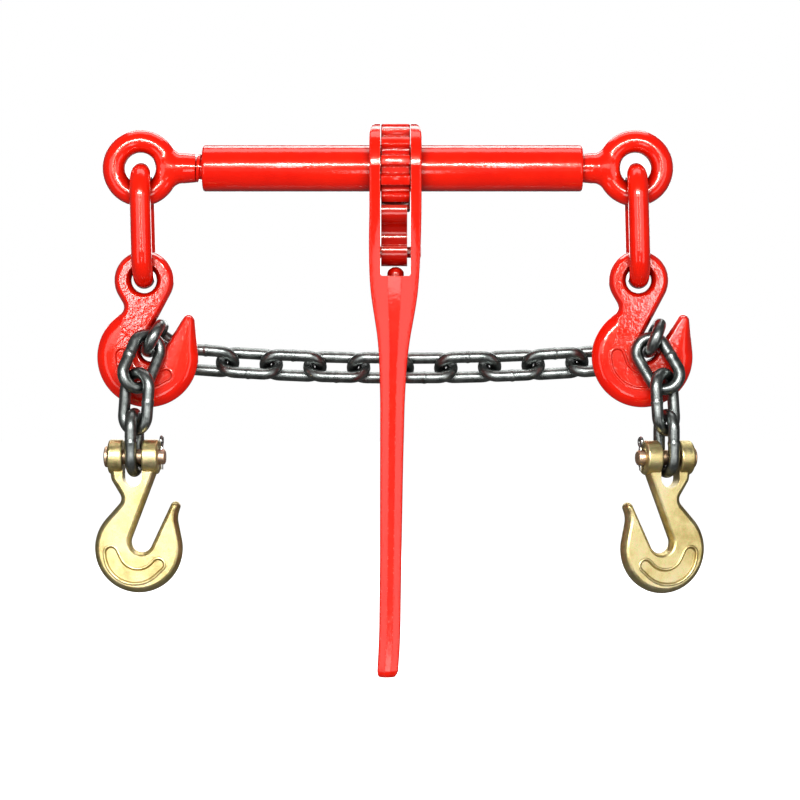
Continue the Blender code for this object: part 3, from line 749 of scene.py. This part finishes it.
def handle():
    bm = bmesh.new()
    skin(bm, handle_rings(), False)
    lever = body("handle_skin", bm, AXLE)
    far = 60.0
    window = bmesh.new()
    skin(window, [window_ring(y, far) for y in (-far, far)], False)
    left, right = WINDOW_X
    low, high = DETENT_BORE_Z
    seats = right - left + 2 * WASHER_SEAT_DEEP
    drills = (
        ("seats", Vector((left - WASHER_SEAT_DEEP, 0, 0)), X, WASHER_SEAT_R, seats, 72),
        ("fork_bore", X * -far, X, FORK_BORE_R, 2 * far, 96),
        ("pin_hole", Vector((-far, 0, PAWL_PIVOT_Z)), X, PAWL_HOLE_R, 2 * far, 36),
        ("detent_bore", Vector(((left + right) / 2, 0, low)), Z, DETENT_BORE_R, high - low, 40),
    )
    cutters = [body("window", window, AXLE)]
    for name, start, axis, r, long, steps in drills:
        cutters.append(body(name, lathe(start, axis, ((0, r), (long, r)), steps), AXLE))
    combine(lever, cutters, "DIFFERENCE")
    show(lever, PAINT_EDGED, ["handle"], 14.0)


def pawl():
    half = [(0.0, -PAWL_BODY_R)]
    for degrees in range(-80, 21, 10):
        angle = math.radians(degrees)
        half.append((PAWL_BODY_R * math.cos(angle), PAWL_BODY_R * math.sin(angle)))
    half += PAWL_FLANK
    for degrees, radius in PAWL_HORN + PAWL_HORN_INNER + PAWL_SADDLE:
        angle = math.radians(degrees)
        half.append((radius * math.sin(angle), -radius * math.cos(angle) - PAWL_PIVOT_Z))
    outline = half + [(-y, z) for y, z in reversed(half[1:-1])]
    bm = bmesh.new()
    rings = [[Vector((x, y, z + PAWL_PIVOT_Z)) for y, z in outline] for x in PAWL_X]
    skin(bm, rings, False)
    catch = body("pawl_skin", bm, AXLE)
    hole = lathe(Vector((-30, 0, PAWL_PIVOT_Z)), X, ((0, PAWL_HOLE_R), (60, PAWL_HOLE_R)), 40)
    combine(catch, [body("hole", hole, AXLE)], "DIFFERENCE")
    # The pawl gets the enamel with strong painted shade.
    show(catch, PAINT_SHADED, ["pawl"], 34.0)


def plunger():
    foot = Vector((sum(WINDOW_X) / 2, 0, PLUNGER_BOTTOM_Z))
    tall = PLUNGER_TOP_Z - PLUNGER_BOTTOM_Z
    socket_r, socket_deep = PLUNGER_SOCKET
    profile = [(socket_deep, 0.3), (socket_deep, socket_r), (0.0, socket_r)]
    profile += [(0.0, PLUNGER_R - 0.4), (0.4, PLUNGER_R)]
    for degrees in range(0, 85, 7):
        angle = math.radians(degrees)
        height = tall - PLUNGER_DOME * (1 - math.sin(angle))
        profile.append((height, PLUNGER_R * math.cos(angle)))
    profile.append((tall, 0.3))
    dome = body("detent_plunger_skin", lathe(foot, Z, profile, 48), AXLE)
    show(dome, PAINT, ["detent_plunger"], 40.0)


def spring():
    """A coil with closed ends, at one fixed length."""
    low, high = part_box("detent_spring")
    tall = (high.z - low.z) / MM - 2 * SPRING_WIRE_R
    coil = (high.x - low.x) / 2 / MM - SPRING_WIRE_R
    foot = Vector(((low.x + high.x) / 2, (low.y + high.y) / 2, low.z + SPRING_WIRE_R * MM))
    steps = 28 * SPRING_TURNS
    path = []
    for i in range(steps + 1):
        share = min(1.0, max(0.0, (i / steps * SPRING_TURNS - 0.6) / (SPRING_TURNS - 1.2)))
        angle = 2 * math.pi * SPRING_TURNS * i / steps
        path.append(coil * (math.cos(angle) * X + math.sin(angle) * Y) + tall * share * Z)
    rings = []
    for i, spot in enumerate(path):
        out = Vector((spot.x, spot.y, 0)).normalized()
        side = heading(path, i).cross(out).normalized()
        rings.append(circle(spot, SPRING_WIRE_R, out, side, 12))
    bm = bmesh.new()
    skin(bm, rings, False)
    wound = body("detent_spring_coil", bm, foot)
    show(wound, BRIGHT, ["detent_spring"], 60.0)
    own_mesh(wound)


# ---------------------------------------------------------------- links
def link_axes(node_name):
    """A link's middle and its along, across and off-plane directions, from its own solid."""
    mesh = frame["nodes"][node_name].data
    co = np.empty(len(mesh.vertices) * 3)
    mesh.vertices.foreach_get("co", co)
    co = co.reshape(-1, 3)
    centre = (co.min(0) + co.max(0)) / 2
    directions = np.linalg.eigh(np.cov((co - centre).T))[1].T[::-1]
    along, across = Vector(directions[0]), Vector(directions[1])
    if across.y > 0:
        across.negate()
    if along.z < 0:
        along.negate()
    return Vector(centre), along, across


def link_mesh(along, across, size, weld, sides):
    """Two bends and two legs; a welded link has a seam round the middle of one leg."""
    wire, inside_long, inside_wide = size
    bend_r = inside_wide / 2 + wire
    reach = (inside_long - inside_wide) / 2
    off = along.cross(across)
    path = []
    for end in (1, -1):
        for i in range(23):
            angle = math.pi * i / 22 - math.pi / 2
            out = end * (math.cos(angle) * along + math.sin(angle) * across)
            path.append((end * reach * along + bend_r * out, out, None))
        side = end * across
        for i in range(1, 24):
            at = end * reach * (1 - 2 * i / 24)
            path.append((at * along + bend_r * side, side, at if end > 0 else None))
    rings = []
    for spot, out, at in path:
        r = wire
        if weld and at is not None:
            r += WELD_RISE * math.exp(-((at / 1.15) ** 2))
            r -= 0.16 * math.exp(-(((at - 1.9) / 0.45) ** 2))
        turn = [2 * math.pi * k / sides for k in range(sides)]
        rings.append([spot + r * (math.cos(t) * out + math.sin(t) * off) for t in turn])
    bm = bmesh.new()
    skin(bm, rings, True)
    return bm


def links():
    kinds = {
        "chain": (CHAIN, True, 26, CHAIN_STEEL, "chain_steel"),
        "connecting": (CONNECTING, False, 40, PAINT, "red_paint"),
    }
    for name in sorted(frame["nodes"]):
        kind = name.split("_")[0]
        if kind in kinds:
            size, weld, sides, mat, slot = kinds[kind]
            centre, along, across = link_axes(name)
            piece = body(f"{name}_wire", link_mesh(along, across, size, weld, sides), centre)
            show(piece, mat, [name], 40.0)


# ---------------------------------------------------------------- hooks
def outline(circles, inset):
    """The outline's points moved inwards by inset: arcs joined by their common tangents."""
    starts = []
    for i, (x, z, r, _, _) in enumerate(circles):
        x2, z2, r2 = circles[(i + 1) % len(circles)][:3]
        apart = math.hypot(x2 - x, z2 - z)
        starts.append(math.atan2(z2 - z, x2 - x) + math.acos((r2 - r) / apart))
    points = []
    for i, (x, z, r, share, steps) in enumerate(circles):
        first = starts[i - 1]
        sweep = (starts[i] - first) % (2 * math.pi)
        if r < 0:
            sweep -= 2 * math.pi
        for k in range(steps + 1):
            angle = first + sweep * k / steps
            at = r - inset * share
            points.append((x - at * math.cos(angle), z - at * math.sin(angle)))
    return points


def lofted(circles, levels, mirror, closed=False):
    """A solid through the outline at each level; levels hold y and inset."""
    rings = []
    for y, inset in levels:
        rings.append([Vector((mirror * x, y, z)) for x, z in outline(circles, inset)])
    bm = bmesh.new()
    skin(bm, rings, closed)
    return bm


def plate(name, circles, kidney, origin, mirror, turn):
    """A forged hook: rounded edges and, on each cheek, a sunk panel inside a raised rim."""
    half = HOOK_HALF_THICK
    levels = [(-share * half, inset) for share, inset in EDGE] + [(0.0, 0.0)]
    levels += [(share * half, inset) for share, inset in reversed(EDGE)]
    hook = body(name, lofted(circles, levels, mirror), origin, turn)
    rims, panels = [], []
    for sign in (-1, 1):
        face = sign * half
        high = sign * RIM_HIGH
        rim = ((face - sign * 0.5, -1.5), (face, -1.5), (face + high * 0.8, -1.0))
        rim += ((face + high, -0.5), (face + high * 0.6, 0.1), (face - sign * 0.5, 0.3))
        rims.append(body("rim", lofted(kidney, rim, mirror, True), origin, turn))
        sunk = ((face + sign * 2.0, -0.3), (face, 0.1), (face - sign * 0.6, 0.45))
        sunk += ((face - sign * RECESS_DEEP, 0.95),)
        panels.append(body("panel", lofted(kidney, sunk, mirror), origin, turn))
    combine(hook, rims, "UNION")
    combine(hook, panels, "DIFFERENCE")
    return hook


def eye_hook(side):
    name = f"grab_hook_{side}"
    low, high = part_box(name)
    origin = Vector((low.x + EYE_HOOK_LEFT * MM, (low.y + high.y) / 2, high.z - EYE_HOOK_TOP * MM))
    hook = plate(f"{name}_forging", EYE_HOOK, EYE_HOOK_KIDNEY, origin, 1, None)
    flare = []
    for level in EYE_HOLE_LEVELS:
        flare.append((level * HOOK_HALF_THICK, EYE_HOLE_R + EYE_HOLE_FLARE * level * level))
    combine(hook, [body("hole", lathe(Vector(), Y, flare, 72), origin)], "DIFFERENCE")
    show(hook, PAINT_FORGED, [name], 17.0)


def pin_place(side):
    """Where the clevis's pin is, and the clevis's turn about the vertical, from the record."""
    joint = joints[f"clevis_swing_{side}"]
    turn = math.atan2(joint["axis"][1], joint["axis"][0])
    return Vector(joint["pos_m"]), Matrix.Rotation(turn, 4, "Z")


def clevis_hook(side, mirror):
    name = f"clevis_hook_{side}"
    origin, turn = pin_place(side)
    hook = plate(f"{name}_forging", CLEVIS_HOOK, CLEVIS_KIDNEY, origin, mirror, turn)
    ears = []
    for start, stop in EARS_X:
        long = stop - start
        profile = [(d, EAR_R + r) for d, r in EAR_EDGE]
        profile += [(long - d, EAR_R + r) for d, r in reversed(EAR_EDGE)]
        ear = lathe(X * mirror * start, X * mirror, profile, 64)
        ears.append(body("ear", ear, origin, turn))
    combine(hook, ears, "UNION")
    edges = sorted((mirror * EARS_X[0][1], mirror * EARS_X[1][0]))
    centre = (edges[0] + edges[1]) / 2
    half = (edges[1] - edges[0]) / 2 + CLEVIS_SLOT_EASE
    foot = CLEVIS_SLOT_FLOOR_Z + half
    slot = bmesh.new()
    rings = []
    for y in (-40.0, 40.0):
        ring = [Vector((centre + half, y, 40.0)), Vector((centre - half, y, 40.0))]
        for step in range(17):
            angle = math.pi + math.pi * step / 16
            x, z = half * math.cos(angle), half * math.sin(angle)
            ring.append(Vector((centre + x, y, foot + z)))
        rings.append(ring)
    skin(slot, rings, False)
    hole = lathe(X * -40.0, X, ((0, PIN_HOLE_R), (80.0, PIN_HOLE_R)), 40)
    cutters = [body("slot", slot, origin, turn), body("hole", hole, origin, turn)]
    combine(hook, cutters, "DIFFERENCE")
    show(hook, ZINC, [name], 17.0)


def clevis_pin(side, mirror):
    name = f"clevis_pin_{side}"
    origin, turn = pin_place(side)
    start, stop = PIN_X
    head = start - PIN_HEAD_DEEP
    profile = ((head, 3.4), (head + 0.12, 5.2), (head + 0.45, 6.3), (head + 1.0, PIN_HEAD_R))
    profile += ((start - 0.5, PIN_HEAD_R), (start, PIN_HEAD_R - 0.5), (start, PIN_R))
    profile += ((stop - 1.2, PIN_R), (stop - 0.5, PIN_R - 0.35), (stop, PIN_R - 1.1))
    pin = body(f"{name}_turned", lathe(Vector(), X * mirror, profile, 48), origin, turn)
    through = ((0, COTTER_HOLE_R), (24, COTTER_HOLE_R))
    hole = lathe(Vector((mirror * COTTER_X, 0, -12)), Z, through, 20)
    combine(pin, [body("hole", hole, origin, turn)], "DIFFERENCE")
    show(pin, ZINC_PIN, [name], 30.0)


def cotter_pin(side, mirror):
    """A pin of round wire with a straight leg and a round eye."""
    name = f"cotter_pin_{side}"
    origin, turn = pin_place(side)
    x = mirror * COTTER_X
    low, high = COTTER_LEG_Z
    path = [Vector((x, 0.0, low + (high - low) * i / 6)) for i in range(7)]
    eye = Vector((x, 0, high + COTTER_EYE_RISE))
    for i in range(1, 28):
        angle = math.radians(-90 + 11.3 * i)
        path.append(eye + COTTER_EYE_R * (Y * math.cos(angle) + Z * math.sin(angle)))
    rings = []
    for i, spot in enumerate(path):
        rings.append(circle(spot, COTTER_WIRE_R, X, heading(path, i).cross(X), 16))
    bm = bmesh.new()
    skin(bm, rings, False)
    show(body(f"{name}_bent", bm, origin, turn), BRIGHT, [name], 40.0)


# ---------------------------------------------------------------- stage
def floor():
    """A pale level floor, running on past what any camera round the object sees."""
    low, _ = cad_box
    z = low.z - FLOOR_BELOW
    bm = bmesh.new()
    corners = ((-1, -1), (1, -1), (1, 1), (-1, 1))
    bm.faces.new([bm.verts.new((x * FLOOR_REACH, y * FLOOR_REACH, z)) for x, y in corners])
    ground = object_of("floor", bm)
    mat, tree, out = shader("floor_paper")
    out.inputs["Roughness"].default_value = 0.9
    out.inputs["Base Color"].default_value = (0.86, 0.86, 0.86, 1.0)
    out.inputs["Emission Color"].default_value = WHITE
    seen = node(tree, "ShaderNodeLightPath").outputs["Is Camera Ray"]
    tree.links.new(spread(tree, seen, 0.0, 1.0, 0.0, 1.0), out.inputs["Emission Strength"])
    ground.data.materials.append(mat)
    # It is seen but neither shades nor tints the steel, so that only the lights do.
    ground.visible_shadow = ground.visible_glossy = ground.visible_diffuse = False


def softbox(name, at, size, watts):
    """A card of light facing the object, not seen itself."""
    light = bpy.data.lights.new(name, "AREA")
    light.shape = "RECTANGLE"
    light.size, light.size_y = size
    light.energy = watts
    obj = linked(name, light)
    obj.location = at
    obj.rotation_mode = "QUATERNION"
    obj.rotation_quaternion = (-Vector(at)).to_track_quat("-Z", "Y")
    obj.visible_camera = False


def studio():
    scene = bpy.context.scene
    scene.view_settings.view_transform = "Standard"
    world = bpy.data.worlds.new("studio")
    world.use_nodes = True
    back = world.node_tree.nodes["Background"]
    back.inputs["Color"].default_value = WHITE
    # The camera sees a white room, which gives only a little light.
    tree = world.node_tree
    seen = node(tree, "ShaderNodeLightPath").outputs["Is Camera Ray"]
    dim = spread(tree, seen, WORLD_LIGHT, 1.0, 0.0, 1.0)
    tree.links.new(dim, back.inputs["Strength"])
    scene.world = world
    for light in LIGHTS:
        softbox(*light)
    camera = bpy.data.cameras.new("camera")
    camera.sensor_width = SENSOR
    camera.lens = SENSOR * -CAMERA_AT[1] / SHOT_WIDE
    scene.camera = linked("camera", camera)
    scene.camera.location = CAMERA_AT
    scene.camera.rotation_euler = (math.pi / 2, 0, 0)


def main():
    barrel()
    gear()
    handle()
    pawl()
    plunger()
    spring()
    links()
    for side, mirror in (("left", 1), ("right", -1)):
        eye_screw(side, mirror)
        eye_hook(side)
        clevis_hook(side, mirror)
        clevis_pin(side, mirror)
        cotter_pin(side, mirror)
    for name in ("thrust_washer_left", "thrust_washer_right", "pawl_pin"):
        mesh = frame["nodes"][name].data
        mesh.materials.clear()
        mesh.materials.append(PAINT if name == "pawl_pin" else BRIGHT)
    floor()
    studio()


main()
